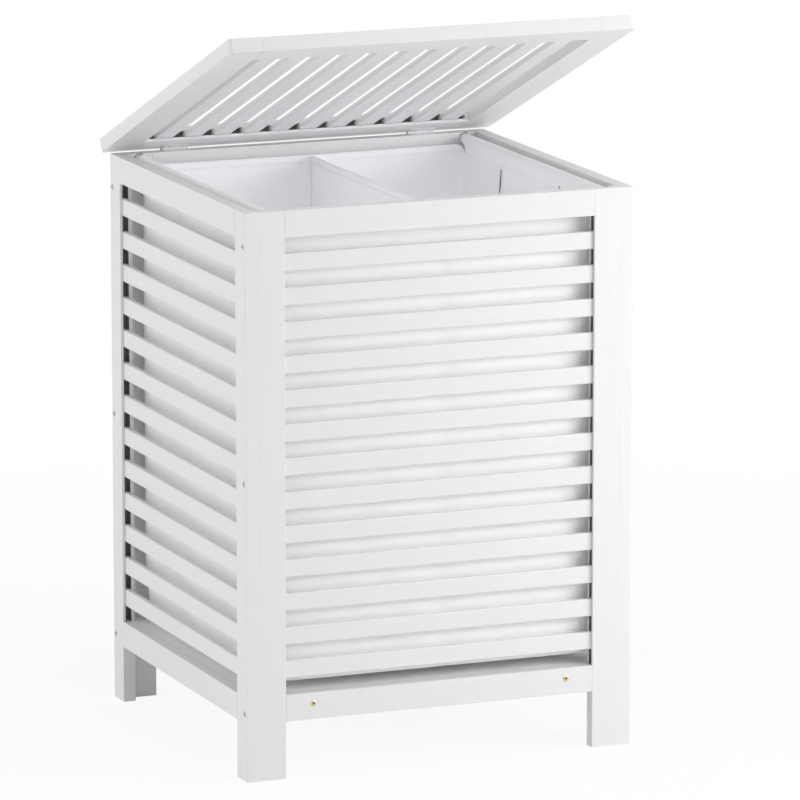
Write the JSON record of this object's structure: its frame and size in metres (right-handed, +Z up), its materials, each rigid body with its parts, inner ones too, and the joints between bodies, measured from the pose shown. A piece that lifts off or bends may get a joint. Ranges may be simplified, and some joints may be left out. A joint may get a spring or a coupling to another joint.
{
  "type": "laundry hamper",
  "caption": "Painted slatted wooden laundry hamper with a hinged slatted lid and a two-bin fabric liner hung on rods.",
  "frame": {"origin": "on the floor, midway between the four legs, to within the few millimetres that the open lid reaches out behind", "axes": "+Z up, +X to the hamper's right as seen from its front, and the front faces -Y, so the lid's hinges are at +Y"},
  "size_m": [0.48, 0.4401, 0.8255],
  "materials": {
    "painted_wood": "satin white paint over wood",
    "base_board_paint": "matt off-white paint over thin board",
    "hinge_paint": "white paint over steel",
    "pin_steel": "plain steel wire",
    "liner_cotton": "plain woven off-white cotton"
  },
  "bodies": {
    "box": {"back_bottom_rail": "painted_wood", "back_left_stile": "painted_wood", "back_right_stile_with_slats": "painted_wood", "back_top_rail": "painted_wood", "base_batten_left": "painted_wood", "base_batten_right": "painted_wood", "base_board": "base_board_paint", "front_bottom_rail": "painted_wood", "front_left_stile": "painted_wood", "front_right_stile": "painted_wood", "front_slat_01": "painted_wood", "front_slat_02": "painted_wood", "front_slat_03": "painted_wood", "front_slat_04": "painted_wood", "front_slat_05": "painted_wood", "front_slat_06": "painted_wood", "front_slat_07": "painted_wood", "front_slat_08": "painted_wood", "front_slat_09": "painted_wood", "front_slat_10": "painted_wood", "front_slat_11": "painted_wood", "front_slat_12": "painted_wood", "front_slat_13": "painted_wood", "front_top_rail": "painted_wood", "hinge_left_body_leaf": "hinge_paint", "hinge_left_pin": "pin_steel", "hinge_right_body_leaf": "hinge_paint", "hinge_right_pin": "pin_steel", "left_bottom_rail": "painted_wood", "left_front_stile": "painted_wood", "left_rear_stile": "painted_wood", "left_slat_01": "painted_wood", "left_slat_02": "painted_wood", "left_slat_03": "painted_wood", "left_slat_04": "painted_wood", "left_slat_05": "painted_wood", "left_slat_06": "painted_wood", "left_slat_07": "painted_wood", "left_slat_08": "painted_wood", "left_slat_09": "painted_wood", "left_slat_10": "painted_wood", "left_slat_11": "painted_wood", "left_slat_12": "painted_wood", "left_slat_13": "painted_wood", "left_top_rail": "painted_wood", "liner": "liner_cotton", "liner_rod_left": "painted_wood", "liner_rod_right": "painted_wood", "right_bottom_rail": "painted_wood", "right_front_stile": "painted_wood", "right_rear_stile_with_slats": "painted_wood", "right_top_rail": "painted_wood"},
    "lid": {"hinge_left_lid_leaf": "hinge_paint", "hinge_right_lid_leaf": "hinge_paint", "lid_front_rail": "painted_wood", "lid_left_stile": "painted_wood", "lid_rear_rail_with_slats": "painted_wood", "lid_right_stile": "painted_wood"}
  },
  "joints": [
    {"name": "lid_hinge", "type": "hinge", "parent": "box", "child": "lid", "pos_m": [0, 0.2182, 0.6374], "axis": [-1, 0, 0], "range_deg": [-22.55, 157.45]}
  ]
}
